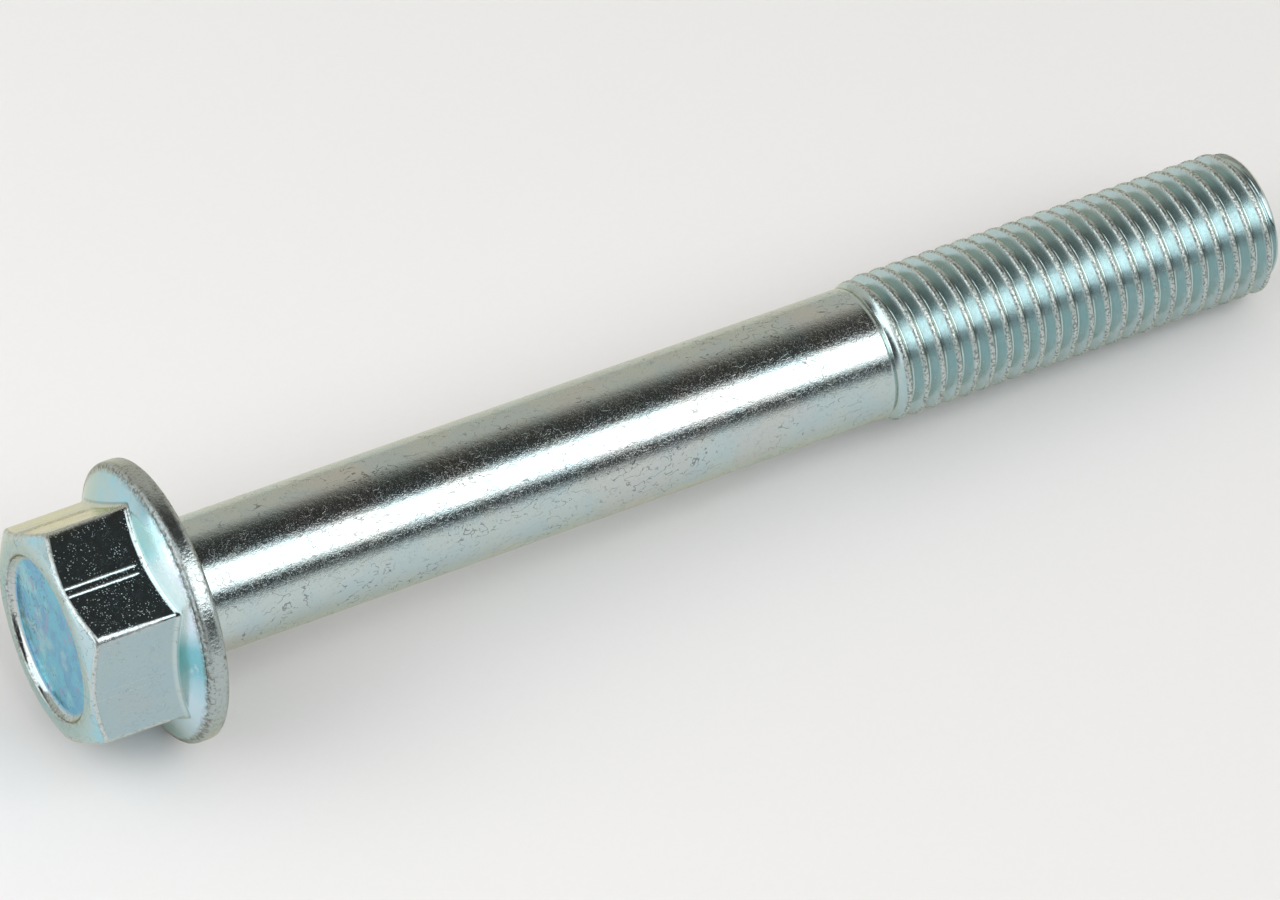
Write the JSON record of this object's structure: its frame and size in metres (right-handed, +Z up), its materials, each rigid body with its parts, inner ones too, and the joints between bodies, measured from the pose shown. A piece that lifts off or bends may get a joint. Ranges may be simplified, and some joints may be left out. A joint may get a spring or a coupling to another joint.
{
  "type": "hex flange bolt",
  "caption": "Hexagon flange bolt with a dished head, a coned flange, a long plain shank and a rolled fine thread, lying at rest.",
  "frame": {"origin": "centre of the bearing face under the flange, on the bolt's axis", "axes": "+Z up from the surface it lies on, +X along the bolt towards the point, which dips about three degrees, +Y to its left"},
  "size_m": [0.0889, 0.0188, 0.0187],
  "materials": {
    "zinc_plate": "bright zinc plate with a clear blue passivate"
  },
  "bodies": {
    "root": {"bolt": "zinc_plate"}
  },
  "joints": []
}
